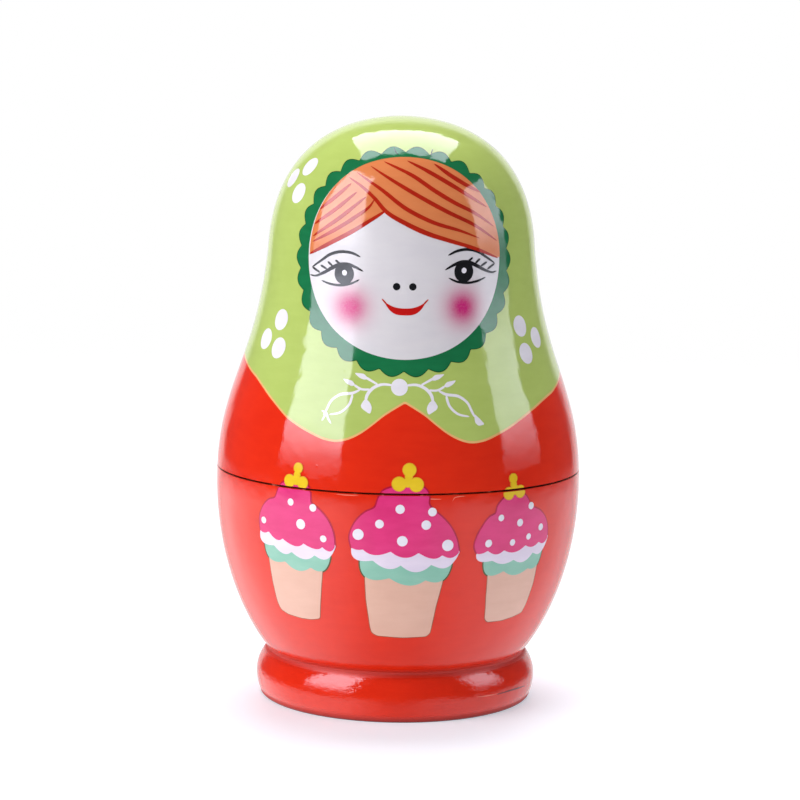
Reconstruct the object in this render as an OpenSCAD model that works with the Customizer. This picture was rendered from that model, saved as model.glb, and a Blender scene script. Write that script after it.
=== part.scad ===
// Nesting doll set: four hollow dolls that open at the waist and a solid smallest one,
// each standing inside the next. Millimetres, +Z up, foot on z = 0, painted front towards -Y.
// The sizes below are those of the outer doll. Every smaller doll is the same turning
// reduced by nest_ratio, and each hollow takes its shape from the doll that stands in it.

/* [Outside of the outer doll] */
// Height from the table to the top of the crown
doll_h = 112; // [110:0.5:120]
// Radius of the belly at its widest ring
belly_r = 35.2; // [34:0.1:38]
// Height of the belly's widest ring
belly_z = 42; // [40:0.5:43.5]
// Radius of the head at the cheeks
head_r = 25.6; // [24:0.1:27]
// Height of the cheek ring
head_z = 88; // [84:0.5:90]
// Slant of the wall at the cheeks, radius gained per mm of drop
head_slant = 0.08; // [0:0.01:0.14]
// Radius of the foot ring at its widest
foot_r = 27.2; // [26:0.1:28]
// Height of the foot ring's widest line
foot_mid_z = 4.1; // [3:0.1:5]
// Radius of the foot ring's round section
foot_round = 7; // [5:0.5:9]
// Rounding of the edge that the doll stands on
foot_edge = 0.7; // [0.3:0.1:1.2]
// How far the groove between foot and belly lies inside the foot ring
groove_in = 2; // [1.6:0.1:2.6]
// Width of the groove's floor
groove_w = 0.3; // [0.2:0.1:1]

/* [Fullness of the curves] */
// How far the crown stays flat before it turns down
crown_flat = 10; // [7:0.5:13]
// Reach of the cheek curve up into the head
head_rise = 19.5; // [16:0.5:20]
// Reach of the cheek curve down into the neck
neck_drop = 23.5; // [18:0.5:25]
// Reach of the belly curve up into the shoulders
shoulder_rise = 19; // [15:0.5:20]
// Reach of the belly curve down into the flank
belly_fall = 18; // [15:0.5:20]
// Reach of the flank curve up from the groove
flank_rise = 3; // [2:0.5:5]
// Slant of the flank where it leaves the groove, radius gained per mm of rise
flank_slant = 0.9; // [0.6:0.05:1.1]

/* [Seam and lap joint] */
// Height of the seam between the two halves
seam_z = 44.6; // [43.6:0.1:47]
// Chamfer on the base's shoulder at the seam
base_rim_chamfer = 0.15; // [0.1:0.05:0.5]
// Chamfer on the top half's rim at the seam
top_rim_chamfer = 0.25; // [0.1:0.05:0.5]
// Height of the spigot that stands up from the base into the top half
spigot_h = 8; // [6:0.5:10]
// Wall of the spigot
spigot_wall = 3.4; // [2.6:0.1:4]
// Chamfer on the spigot's upper edge and on the socket's mouth
lead_in = 0.5; // [0.2:0.1:0.8]
// Radial clearance of the spigot in its socket
fit_gap = 0.1; // [0.05:0.01:0.1]
// Gap above the spigot when the doll is closed
socket_end_gap = 0.5; // [0.3:0.1:1]

/* [Hollow and nesting] */
// Size of each doll as a share of the doll around it
nest_ratio = 0.76; // [0.72:0.01:0.78]
// Thickness of the floor that the inner doll stands on
floor_t = 9.5; // [8:0.5:11]
// Clearance between the inner doll and the wall around it
nest_gap = 1.2; // [0.8:0.1:1.6]
// Free height above the inner doll's crown
headroom = 7; // [5:0.5:9]

/* [Hidden] */
$fn = 96;
curve_steps = 12;
edge_step = 30;
dress_red = [0.87, 0.2, 0.1];
scarf_green = [0.73, 0.83, 0.43];

// Point at t on the curve from a to d, with handles b and c
function cubic(a, b, c, d, t) =
    pow(1 - t, 3) * a + 3 * pow(1 - t, 2) * t * b + 3 * (1 - t) * pow(t, 2) * c + pow(t, 3) * d;
function cubic_points(a, b, c, d) =
    [for (i = [0 : curve_steps - 1]) cubic(a, b, c, d, i / curve_steps)];

// The foot ring is an arc about this centre, from its rounded lower edge to the groove
foot_centre = [foot_r - foot_round, foot_mid_z];
foot_low_angle = asin((foot_edge - foot_mid_z) / foot_round);
foot_high_angle = acos(1 - groove_in / foot_round);
function foot_arc(angle) = foot_centre + foot_round * [cos(angle), sin(angle)];
edge_centre = [foot_arc(foot_low_angle)[0] - foot_edge, foot_edge];
groove_r = foot_r - groove_in;
flank_z = foot_arc(foot_high_angle)[1] + groove_w;

// Outside of the doll as [radius, height], from the table up to the crown
outline = concat(
    [for (angle = [-90 : edge_step : -edge_step]) edge_centre + foot_edge * [cos(angle), sin(angle)]],
    [for (i = [0 : curve_steps]) foot_arc(foot_low_angle + (foot_high_angle - foot_low_angle) * i / curve_steps)],
    cubic_points([groove_r, flank_z], [groove_r + flank_slant * flank_rise, flank_z + flank_rise],
                 [belly_r, belly_z - belly_fall], [belly_r, belly_z]),
    cubic_points([belly_r, belly_z], [belly_r, belly_z + shoulder_rise],
                 [head_r + head_slant * neck_drop, head_z - neck_drop], [head_r, head_z]),
    cubic_points([head_r, head_z], [head_r - head_slant * head_rise, head_z + head_rise],
                 [crown_flat, doll_h], [0, doll_h]),
    [[0, doll_h]]);
radius_table = [for (point = outline) [point[1], point[0]]];
function radius_at(z) = lookup(z, radius_table);
function widest_up_to(i) = max([for (j = [0 : i]) outline[j][0]]);

// Where a point of the outline lies on the doll inside, and the same point of the wall around it
function inner_z(point) = floor_t + nest_ratio * point[1];
function wall_point(point, lift) = [nest_ratio * point[0] + nest_gap, inner_z(point) + lift];

// The lap joint: the bore clears the inner doll's belly, and the socket clears the spigot
bore_r = nest_ratio * belly_r + nest_gap;
spigot_r = bore_r + spigot_wall;
spigot_top = seam_z + spigot_h;
socket_r = spigot_r + fit_gap;
socket_end = spigot_top + socket_end_gap;
ceiling_z = inner_z([0, doll_h]) + headroom;
throat_z = max(belly_z, (socket_end - headroom - floor_t) / nest_ratio);

// Half section of a base: outside, shoulder, spigot, then the bowl for the inner doll,
// which never narrows upwards, so that the inner doll lifts straight out
base_section = concat(
    [[0, 0]],
    [for (point = outline) if (point[1] < seam_z - base_rim_chamfer) point],
    [[radius_at(seam_z - base_rim_chamfer), seam_z - base_rim_chamfer],
     [radius_at(seam_z) - base_rim_chamfer, seam_z],
     [spigot_r, seam_z],
     [spigot_r, spigot_top - lead_in],
     [spigot_r - lead_in, spigot_top],
     [bore_r, spigot_top]],
    [for (i = [len(outline) - 1 : -1 : 0]) let (point = outline[i])
        if (point[1] <= belly_z && point[0] >= widest_up_to(i)) wall_point(point, 0)],
    [[0, floor_t]]);

// Half section of a top half: outside from the rim to the crown, then the hollow down to the socket
top_section = concat(
    [[socket_r + lead_in, seam_z],
     [radius_at(seam_z) - top_rim_chamfer, seam_z],
     [radius_at(seam_z + top_rim_chamfer), seam_z + top_rim_chamfer]],
    [for (point = outline) if (point[1] > seam_z + top_rim_chamfer) point],
    [[0, ceiling_z]],
    [for (i = [len(outline) - 1 : -1 : 0]) let (point = outline[i])
        if (point[1] > throat_z) wall_point(point, headroom)],
    [wall_point([radius_at(throat_z), throat_z], headroom),
     [wall_point([radius_at(throat_z), throat_z], headroom)[0], socket_end],
     [socket_r, socket_end],
     [socket_r, seam_z + lead_in]]);

solid_section = concat([[0, 0]], outline);

// Doll 0 is the outer one. Each doll stands on the floor of the one around it.
function doll_scale(doll) = pow(nest_ratio, doll);
function seat_z(doll) = doll == 0 ? 0 : seat_z(doll - 1) + floor_t * doll_scale(doll - 1);
module turned(section, doll) {
    translate([0, 0, seat_z(doll)]) scale(doll_scale(doll)) rotate_extrude() polygon(section);
}

module outer_doll_base() { color(dress_red) turned(base_section, 0); }
module outer_doll_top() { color(scarf_green) turned(top_section, 0); }
module second_doll_base() { color(dress_red) turned(base_section, 1); }
module second_doll_top() { color(scarf_green) turned(top_section, 1); }
module third_doll_base() { color(dress_red) turned(base_section, 2); }
module third_doll_top() { color(scarf_green) turned(top_section, 2); }
module fourth_doll_base() { color(dress_red) turned(base_section, 3); }
module fourth_doll_top() { color(scarf_green) turned(top_section, 3); }
module smallest_doll() { color(dress_red) turned(solid_section, 4); }

outer_doll_base();
outer_doll_top();
second_doll_base();
second_doll_top();
third_doll_base();
third_doll_top();
fourth_doll_base();
fourth_doll_top();
smallest_doll();
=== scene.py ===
"""Looks of the nesting doll set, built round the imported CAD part.

Each CAD piece is shown by a smooth turned shell with the same section. The painting lies on it as
thin films with real edges, one over the other, as coats of paint do. Shapes are drawn in
millimetres on the outer doll: across is the way round the doll from a centre line, height is z.
The smaller dolls repeat the outer one at the nesting ratio.
"""

import math

import bpy
import numpy as np
from mathutils import Matrix


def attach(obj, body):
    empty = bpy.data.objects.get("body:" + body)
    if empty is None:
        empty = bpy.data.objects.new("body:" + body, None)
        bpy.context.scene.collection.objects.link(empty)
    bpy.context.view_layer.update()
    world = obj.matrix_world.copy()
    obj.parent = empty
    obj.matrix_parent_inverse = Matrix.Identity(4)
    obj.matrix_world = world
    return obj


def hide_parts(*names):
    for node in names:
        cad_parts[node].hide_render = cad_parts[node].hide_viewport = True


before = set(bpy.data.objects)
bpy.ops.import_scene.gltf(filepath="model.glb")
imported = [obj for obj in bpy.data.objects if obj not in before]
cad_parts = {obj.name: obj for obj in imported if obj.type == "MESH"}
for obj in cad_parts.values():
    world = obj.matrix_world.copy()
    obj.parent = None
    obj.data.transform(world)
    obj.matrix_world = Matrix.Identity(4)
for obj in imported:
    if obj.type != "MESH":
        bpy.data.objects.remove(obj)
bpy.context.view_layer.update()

MM = 0.001

# Outside of the outer doll, as in the CAD source
DOLL_H = 112.0
BELLY_R = 35.2
BELLY_Z = 42.0
HEAD_R = 25.6
HEAD_Z = 88.0
HEAD_SLANT = 0.08
FOOT_R = 27.2
FOOT_MID_Z = 4.1
FOOT_ROUND = 7.0
FOOT_EDGE = 0.7
GROOVE_IN = 2.0
GROOVE_W = 0.3
CROWN_FLAT = 10.0
HEAD_RISE = 19.5
NECK_DROP = 23.5
SHOULDER_RISE = 19.0
BELLY_FALL = 18.0
FLANK_RISE = 3.0
FLANK_SLANT = 0.9

# Seam, lap joint and hollow, as in the CAD source
SEAM_Z = 44.6
BASE_CHAMFER = 0.15
TOP_CHAMFER = 0.25
SPIGOT_H = 8.0
SPIGOT_WALL = 3.4
LEAD_IN = 0.5
FIT_GAP = 0.1
SOCKET_END_GAP = 0.5
NEST_RATIO = 0.76
FLOOR_T = 9.5
NEST_GAP = 1.2
HEADROOM = 7.0

# Paint build: the wood lies below the CAD outline, and each coat is one step higher
SKIN = -0.15
COAT = 0.025
FILM_ROOT = -0.2
RIM_GAP = 0.12
EDGE_BLEND = 2.3

# Bands of wear and painted shade: chips at the seam, crinkles on the foot, painted shade at its edge and in
# the groove
RIM_BAND = 1.2
FOOT_TOP = 10.0
FOOT_BLEND = 2.0
FOOT_SHADE_TOP = 1.5
CREASE_Z = 9.2
CREASE_HALF = 1.2
CREASE_SHADE = 0.5

# Mesh steps: segments round a shell of full size, then millimetres between a film's points
AROUND = 168
AROUND_LEAST = 72
FILM_STEP = 0.32
RING_STEP = 0.95
STROKE_STEP = 0.35
SEAM_MARGIN = 0.04

# The painting is turned a little to the viewer's right, and the line of the eyes rises that way
PAINT_TURN = math.radians(1.5)
FACE_TILT = 0.031

DOLLS = ("outer", "second", "third", "fourth", "smallest")


# Outline


def cubic(a, b, c, d, steps):
    """Points on the curve from a to d with handles b and c: the weights of a, b, c and d are
    (1-t)^3, 3(1-t)^2 t, 3(1-t) t^2 and t^3."""
    t = np.linspace(0, 1, steps + 1)[:, None]
    a, b, c, d = (np.array(point, float) for point in (a, b, c, d))
    return (1 - t) ** 3 * a + 3 * (1 - t) ** 2 * t * b + 3 * (1 - t) * t ** 2 * c + t ** 3 * d


def arc(centre, radius, start, end, steps):
    """Points on a circle's arc: centre plus radius times cosine and sine of the angle."""
    angle = np.linspace(start, end, steps + 1)
    return np.stack([centre[0] + radius * np.cos(angle), centre[1] + radius * np.sin(angle)], axis=1)


def doll_outline():
    """Radius and height of the outside from the table to the crown: a rounded edge, the foot's arc, the
    groove, then three cubic curves over flank, shoulder and head."""
    low = math.asin((FOOT_EDGE - FOOT_MID_Z) / FOOT_ROUND)
    high = math.acos(1 - GROOVE_IN / FOOT_ROUND)
    foot = arc((FOOT_R - FOOT_ROUND, FOOT_MID_Z), FOOT_ROUND, low, high, 26)
    edge = arc((foot[0, 0] - FOOT_EDGE, FOOT_EDGE), FOOT_EDGE, -math.pi / 2, -0.2, 6)
    groove_r = FOOT_R - GROOVE_IN
    flank_z = foot[-1, 1] + GROOVE_W
    flank = cubic((groove_r, flank_z), (groove_r + FLANK_SLANT * FLANK_RISE, flank_z + FLANK_RISE),
                  (BELLY_R, BELLY_Z - BELLY_FALL), (BELLY_R, BELLY_Z), 60)
    shoulder = cubic((BELLY_R, BELLY_Z), (BELLY_R, BELLY_Z + SHOULDER_RISE),
                     (HEAD_R + HEAD_SLANT * NECK_DROP, HEAD_Z - NECK_DROP), (HEAD_R, HEAD_Z), 80)
    head = cubic((HEAD_R, HEAD_Z), (HEAD_R - HEAD_SLANT * HEAD_RISE, HEAD_Z + HEAD_RISE),
                 (CROWN_FLAT, DOLL_H), (0, DOLL_H), 80)
    return np.vstack([edge, foot, flank, shoulder[1:], head[1:]])


OUTLINE = doll_outline()
OUT_R = OUTLINE[:, 0]
OUT_Z = OUTLINE[:, 1]
STEP_LENGTH = np.hypot(np.diff(OUT_R), np.diff(OUT_Z))
LENGTH = np.concatenate([[0.0], np.cumsum(STEP_LENGTH)])
SLOPE_R = np.gradient(OUT_R, LENGTH)
SLOPE_Z = np.gradient(OUT_Z, LENGTH)
SLOPE_SIZE = np.hypot(SLOPE_R, SLOPE_Z)
NORMAL_R = SLOPE_Z / SLOPE_SIZE
NORMAL_Z = -SLOPE_R / SLOPE_SIZE
CROWN_LENGTH = LENGTH[-1]


def radius_at(height):
    return np.interp(height, OUT_Z, OUT_R)


def length_at(height):
    return np.interp(height, OUT_Z, LENGTH)


def on_skin(turn, length, lift):
    """Points of the doll: the outline at that length from the foot, moved lift along its normal, turned
    about Z from the front, so x is radius times sine and y is minus radius times cosine of the turn."""
    radius = np.interp(length, LENGTH, OUT_R) + lift * np.interp(length, LENGTH, NORMAL_R)
    height = np.interp(length, LENGTH, OUT_Z) + lift * np.interp(length, LENGTH, NORMAL_Z)
    return np.stack([radius * np.sin(turn), -radius * np.cos(turn), height], axis=-1)


# Meshes


def grid_quads(index):
    """Quads of a grid of vertex numbers, row by row."""
    corners = (index[:-1, :-1], index[1:, :-1], index[1:, 1:], index[:-1, 1:])
    return np.stack(corners, axis=-1).reshape(-1, 4)


def split_faces(quads, tags):
    """Quads with two equal neighbouring corners become triangles, and those with more are dropped."""
    same = quads == np.roll(quads, -1, axis=1)
    count = same.sum(axis=1)
    pinched = count == 1
    first = same[pinched].argmax(axis=1)
    columns = (first[:, None] + 1 + np.arange(3)) % 4
    tris = np.take_along_axis(quads[pinched], columns, axis=1)
    return quads[count == 0], tags[count == 0], tris, tags[pinched]


def packed(points, quads, tags):
    """Vertices in use, with the faces numbered to match."""
    quads, quad_tags, tris, tri_tags = split_faces(quads, tags)
    used = np.unique(np.concatenate([quads.ravel(), tris.ravel()]))
    number = np.zeros(len(points), int)
    number[used] = np.arange(len(used))
    return {"points": points[used], "quads": number[quads], "quad_tags": quad_tags,
            "tris": number[tris], "tri_tags": tri_tags, "used": used}


def film(turn, length, lift, wrap=False, pole=False):
    """Closed film over a grid of skin points: the grid at lift, the same grid at the film's root under the
    wood's surface, and walls round its edges. With wrap the rows close on themselves, and with pole the
    first column is one point."""
    rows, cols = turn.shape
    top = on_skin(turn, length, lift)
    low = on_skin(turn, length, FILM_ROOT)
    index = np.arange(rows * cols).reshape(rows, cols)
    if pole:
        index[:, 0] = index[0, 0]
    if wrap:
        index = np.vstack([index, index[:1]])
    under = index + rows * cols
    faces = [grid_quads(index), grid_quads(under)[:, ::-1]]
    ends = [(index[::-1, 0], under[::-1, 0]), (index[:, -1], under[:, -1])]
    if not wrap:
        ends += [(index[0], under[0]), (index[-1, ::-1], under[-1, ::-1])]
    for upper, lower in ends:
        faces.append(np.stack([upper[:-1], upper[1:], lower[1:], lower[:-1]], axis=1))
    quads = np.concatenate(faces)
    points = np.concatenate([top.reshape(-1, 3), low.reshape(-1, 3)])
    face = points[faces[0]]
    normal = np.cross(face[:, 2] - face[:, 0], face[:, 3] - face[:, 1])
    outward = face.mean(axis=1) - np.array([0, 0, DOLL_H / 2])
    if (normal * outward).sum() < 0:
        quads = quads[:, ::-1]
    return packed(points, quads, np.zeros(len(quads), int))


def lathe(section, tags, around):
    """Closed turned body: the section's radius and height carried round Z. Section points on the axis become
    one point each, and tags name the paint of each section step."""
    turn = np.linspace(0, 2 * math.pi, around, endpoint=False)[:, None]
    radius = section[None, :, 0]
    height = np.broadcast_to(section[None, :, 1], (around, len(section)))
    points = np.stack([radius * np.sin(turn), -radius * np.cos(turn), height], axis=-1)
    index = np.arange(around * len(section)).reshape(around, len(section))
    index[:, 0] = index[0, 0]
    index[:, -1] = index[0, -1]
    index = np.vstack([index, index[:1]])
    quads = grid_quads(index)
    return packed(points.reshape(-1, 3), quads, np.tile(tags, around))


# Shapes of the painting, as points of across and height


def resample(points, spacing):
    """Closed line through the points, with points at even spacing along it."""
    closed = np.vstack([points, points[:1]])
    run = np.concatenate([[0.0], np.cumsum(np.hypot(*np.diff(closed, axis=0).T))])
    count = max(28, int(run[-1] / spacing))
    at = np.arange(count) * run[-1] / count
    return np.stack([np.interp(at, run, closed[:, 0]), np.interp(at, run, closed[:, 1])], axis=1)


def softened(points, soft, spacing=0.1):
    """Closed line through the points with its corners rounded: each point becomes the mean of its
    neighbours with a bell-shaped weight of width soft."""
    line = resample(np.array(points, float), spacing)
    rate = np.fft.fftfreq(len(line), spacing)
    weight = np.exp(-2 * (math.pi * soft * rate) ** 2)[:, None]
    return np.fft.ifft(np.fft.fft(line, axis=0) * weight, axis=0).real


def ellipse(across, height, half_width, half_height, count=200):
    angle = np.linspace(0, 2 * math.pi, count, endpoint=False)
    return np.stack([across + half_width * np.cos(angle), height + half_height * np.sin(angle)], axis=1)


def grown(line, reach):
    """The closed line moved outwards by reach along its normals."""
    ahead = np.roll(line, -1, axis=0) - np.roll(line, 1, axis=0)
    ahead /= np.hypot(ahead[:, 0], ahead[:, 1])[:, None] + 1e-12
    area = (line[:, 0] * np.roll(line[:, 1], -1) - np.roll(line[:, 0], -1) * line[:, 1]).sum()
    side = 1.0 if area > 0 else -1.0
    return line + side * reach * np.stack([ahead[:, 1], -ahead[:, 0]], axis=1)


def hermite(t, knots, values):
    """Smooth curve through values at the knots: cubic pieces whose slopes are those of the neighbours."""
    knots = np.asarray(knots, float)
    values = np.asarray(values, float)
    slopes = np.gradient(values, knots, axis=0)
    i = np.clip(np.searchsorted(knots, t, side="right") - 1, 0, len(knots) - 2)
    span = knots[i + 1] - knots[i]
    u = (t - knots[i]) / span
    if values.ndim == 2:
        u = u[:, None]
        span = span[:, None]
    rise = (1 + 2 * u) * (1 - u) ** 2 * values[i] + u ** 2 * (3 - 2 * u) * values[i + 1]
    return rise + span * (u * (1 - u) ** 2 * slopes[i] - u ** 2 * (1 - u) * slopes[i + 1])


def smooth_path(points, count):
    """Points along a smooth curve through the given ones, and the share of its length at each."""
    points = np.array(points, float)
    run = np.concatenate([[0.0], np.cumsum(np.hypot(*np.diff(points, axis=0).T))])
    at = np.linspace(0, run[-1], count)
    return hermite(at, run, points), at / run[-1]


def stroke_grid(points, widths, count):
    """Brush stroke along a smooth path, as across and height on a grid: the path plus its normal times the
    half width, which runs smoothly through widths and is rounded at both ends."""
    path, share = smooth_path(points, count)
    ahead = np.gradient(path, axis=0)
    ahead /= np.hypot(ahead[:, 0], ahead[:, 1])[:, None] + 1e-12
    half = np.interp(share, np.linspace(0, 1, len(widths)), widths) / 2
    half = half * np.sqrt(np.clip(1 - (2 * share - 1) ** 12, 0.004, 1))
    side = np.stack([-ahead[:, 1], ahead[:, 0]], axis=1) * half[:, None]
    grid = path[:, None, :] + side[:, None, :] * np.linspace(-1, 1, 5)[None, :, None]
    return grid[..., 0], grid[..., 1]


# One doll's painting


NECK_LINE = 52.0
FACE_SHRINK = 0.0105


def settled(piece, height):
    """Heights on the doll for heights in a drawing: the face lies lower, by a share of its height over the
    neck."""
    return height - FACE_SHRINK * (height - NECK_LINE) if piece == "face" else height


class Painting:
    """Collects the films of one doll, sorted into its objects."""

    def __init__(self, scale):
        self.scale = scale
        self.films = []

    def count(self, number):
        return max(8, int(round(number * self.scale)))

    def add(self, piece, paint, mesh, blush=None):
        if blush is None:
            blush = np.zeros(len(mesh["points"]))
        self.films.append((piece, paint, mesh, blush))

    def spread(self, piece, paint, coat, line, centre, turn, nudge=0.0, blush=None, base_piece=None):
        """Film inside a closed line of across and height about a centre turn: rings of points run from the
        centre out to the line. A shape that crosses the seam is cut there, one film on each half."""
        line = resample(np.asarray(line, float), FILM_STEP / self.scale)
        cuts = [(piece, SEAM_Z + TOP_CHAMFER + SEAM_MARGIN, 1)]
        if base_piece:
            cuts.append((base_piece, SEAM_Z - BASE_CHAMFER - SEAM_MARGIN, -1))
        for owner, cut, side in cuts:
            reach = (side * (line[:, 1] - cut)).max()
            if reach <= 0.05:
                continue
            middle = np.array(centre, float)
            if side * (middle[1] - cut) < 0.2 * reach:
                middle[1] = cut + side * reach / 2
            over = side * (line[:, 1] - cut) < 0
            span = line[:, 1] - middle[1]
            share = np.where(over, (cut - middle[1]) / np.where(np.abs(span) < 1e-9, 1e-9, span), 1.0)
            edge = middle + (line - middle) * share[:, None]
            size = np.hypot(*(edge - middle).T).max()
            rings = max(3, int(size * self.scale / RING_STEP))
            t = np.linspace(0, 1, rings + 1)[None, :]
            across = middle[0] + (edge[:, :1] - middle[0]) * t
            height = middle[1] + (edge[:, 1:] - middle[1]) * t
            placed = settled(piece, height)
            mesh = film(turn + across / radius_at(placed), length_at(placed), SKIN + coat * COAT + nudge,
                        wrap=True, pole=True)
            marks = None
            if blush is not None:
                flat = np.stack([across.ravel(), height.ravel()], axis=1)
                marks = blush(np.vstack([flat, flat])[mesh["used"]])
            self.add(owner, paint, mesh, marks)

    def stroke(self, piece, paint, coat, points, widths, turn=PAINT_TURN, nudge=0.0):
        points = np.array(points, float)
        run = np.hypot(*np.diff(points, axis=0).T).sum()
        across, height = stroke_grid(points, widths, max(7, int(run * self.scale / STROKE_STEP)))
        placed = settled(piece, height)
        mesh = film(turn + across / radius_at(placed), length_at(placed), SKIN + coat * COAT + nudge)
        self.add(piece, paint, mesh)

    def dot(self, piece, paint, coat, degrees, height, radius):
        """Round dot on the skin: its edge lies radius from the centre, measured along the surface."""
        angle = np.linspace(0, 2 * math.pi, self.count(48), endpoint=False)[:, None]
        t = np.linspace(0, 1, 5)[None, :]
        length = length_at(height) + radius * np.sin(angle) * t
        ring = np.interp(length, LENGTH, OUT_R)
        turn = math.radians(degrees) + radius * np.cos(angle) * t / ring
        self.add(piece, paint, film(turn, length, SKIN + coat * COAT, wrap=True, pole=True))


# Scarf

NOTCH_TURN = math.radians(1.9)
EDGE_DEGREES = (0, 3.2, 6.5, 10, 13.4, 17, 21, 25, 31, 39, 47.5, 57, 67, 80, 100, 140, 180)
EDGE_HEIGHTS = (61.3, 60.25, 59.05, 57.4, 55.9, 54.75, 54.1, 54.25, 55.3, 57.1, 59.4, 61.6, 63.2, 64.9, 66.0,
                66.2, 66.2)
EDGE_SLANT = 1.2
EDGE_LINE = 0.42
FRONT_HALF = 62
DOT_R = 2.0
DOT_PLACES = ((-57, 102.5), (-68.6, 100.2), (-56, 97.6), (-53.4, 74.2), (-61, 70.3), (-51, 69.1),
              (53.4, 73.7), (63.6, 71.2), (53.6, 68.7))
BACK_DOTS = ((122, 99.0), (112, 94.6), (124, 93.0), (-128, 78.0), (-118, 73.8), (-130, 72.4),
             (140, 75.2), (150, 71.2), (138, 69.9), (178, 101.0), (170, 96.4), (182, 95.2))


def scarf_edge(turn):
    """Height of the scarf's lower edge: a smooth curve of the turn from the notch, a little higher on the
    viewer's left side than on the right."""
    away = (turn - NOTCH_TURN + math.pi) % (2 * math.pi) - math.pi
    degrees = np.degrees(np.abs(away))
    bulge = np.clip((degrees - 40) / 22, 0, 1) * np.clip((180 - degrees) / 70, 0, 1)
    return hermite(degrees, EDGE_DEGREES, EDGE_HEIGHTS) - EDGE_SLANT * np.sign(away) * bulge


def paint_scarf(art):
    """The scarf runs from one point on the crown down to its edge, over a thin line of ground coat that shows
    below it, with groups of three dots and a white sprig over the notch."""
    front = np.radians(np.linspace(-FRONT_HALF, FRONT_HALF, art.count(190)))
    back = np.radians(np.linspace(FRONT_HALF, 360 - FRONT_HALF, art.count(150)))[1:-1]
    turn = np.concatenate([front, back]) + NOTCH_TURN
    edge = length_at(scarf_edge(turn))
    t = np.linspace(0, 1, art.count(84))[None, :]
    length = CROWN_LENGTH + (edge[:, None] - CROWN_LENGTH) * t
    art.add("scarf", "scarf", film(np.repeat(turn[:, None], t.size, axis=1), length, SKIN + COAT, True, True))
    line = edge[:, None] + EDGE_LINE * np.array([0.5, -1.0])[None, :]
    art.add("scarf", "edge_line", film(np.repeat(turn[:, None], 2, axis=1), line, SKIN + COAT / 2, True))
    for degrees, height in DOT_PLACES + BACK_DOTS:
        art.dot("scarf", "white", 2, degrees, height, DOT_R)
    paint_sprig(art)


# Sprig, as across from its middle and height: twigs and tuft with widths and nudge, buds with softness
SPRIG_U = -0.8
SPRIG_V = 63.7
SPRIG_DISC = (1.54, 1.5)
SPRIG_TWIGS = (
    (((1.2, 64.05), (3.3, 64.1), (5.0, 63.3), (5.9, 62.2), (6.2, 61.0)), (0.42, 0.45, 0.55, 0.6, 0.55), 0.0),
    (((3.8, 64.0), (5.3, 64.8), (6.3, 65.3)), (0.35, 0.4, 0.5), 0.004),
    (((5.2, 63.2), (7.1, 63.2), (8.5, 63.95)), (0.35, 0.4, 0.45), 0.004),
    (((7.0, 63.2), (8.4, 62.5), (11.1, 62.0), (12.8, 60.8), (13.7, 59.2), (14.3, 58.2)),
     (0.35, 0.5, 0.5, 0.45, 0.45, 0.45), 0.004),
    (((8.6, 62.3), (9.2, 60.5), (10.8, 59.0), (13.2, 58.4)), (0.5, 0.45, 0.4, 0.3), 0.008))
SPRIG_TUFT = (
    (((13.4, 58.6), (14.7, 59.0)), (0.4, 0.3), 0.012),
    (((13.6, 58.7), (13.4, 57.9), (12.7, 56.8)), (0.4, 0.45, 0.3), 0.016),
    (((13.7, 58.6), (14.6, 57.2)), (0.45, 0.3), 0.02))
SPRIG_BUDS = (
    (((6.25, 61.6), (7.15, 60.3), (6.9, 59.8), (5.3, 58.8), (4.95, 60.0), (5.4, 61.0)), 0.28),
    (((5.7, 65.1), (6.5, 65.9), (8.4, 66.0), (7.3, 65.1), (6.3, 64.8)), 0.22),
    (((8.1, 63.8), (8.7, 64.6), (10.6, 64.9), (9.9, 64.1), (8.9, 63.6)), 0.22))
SPRIG_END = ((((14.1, 58.9), (15.3, 57.9), (16.3, 56.9), (15.0, 56.7), (14.3, 57.3)), 0.2),)


def paint_sprig(art):
    """A disc with a mirrored spray on each side: a stem that ends in a hanging leaf, two twigs with buds and
    an open loop, which ends in a tuft on the viewer's left and in a bud on the right."""
    centre = (SPRIG_U, SPRIG_V)
    art.spread("scarf", "white", 3, ellipse(*centre, *SPRIG_DISC, 60), centre, PAINT_TURN)
    for side, more_twigs, more_buds in ((-1, SPRIG_TUFT, ()), (1, (), SPRIG_END)):
        def place(points):
            return [(SPRIG_U + side * across, height) for across, height in points]

        for points, widths, nudge in SPRIG_TWIGS + more_twigs:
            art.stroke("scarf", "white", 2, place(points), widths, nudge=nudge)
        for points, soft in SPRIG_BUDS + more_buds:
            bud = softened(place(points), soft)
            art.spread("scarf", "white", 3, bud, bud.mean(axis=0), PAINT_TURN)


# Face

FACE_V = 87.0
FACE_HALF = (19.45, 18.3)
BORDER_V = 86.45
BORDER_HALF = (22.6, 20.75)
BORDER_LINE = 0.18
SCALLOPS = 30
SCALLOP_DEPTH = 0.052
APEX = (-3.7, 95.6)
EYE_U = 11.35
EYE_SHIFT = -0.1
EYE_V = 84.22
IRIS_HALF = (1.95, 1.98)
SPARK_HALF = (0.5, 0.52)
NOSTRIL_U = 1.48
NOSTRIL_V = 81.85
NOSTRIL_R = 0.68
CHEEKS = ((-10.1, 77.85), (11.05, 78.1))
CHEEK_PEAK = 1.06
CHEEK_SPREAD = 2.4


def scalloped(reach):
    """Ellipse whose radius falls to cusps between scallops, as the size of a sine, with a cusp at the
    bottom."""
    angle = np.linspace(0, 2 * math.pi, 900, endpoint=False)
    bump = np.abs(np.sin(SCALLOPS / 2 * (angle + math.pi / 2)))
    share = 1 - SCALLOP_DEPTH * (1 - bump)
    return np.stack([(BORDER_HALF[0] + reach) * share * np.cos(angle),
                     BORDER_V + (BORDER_HALF[1] + reach) * share * np.sin(angle)], axis=1)


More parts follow.
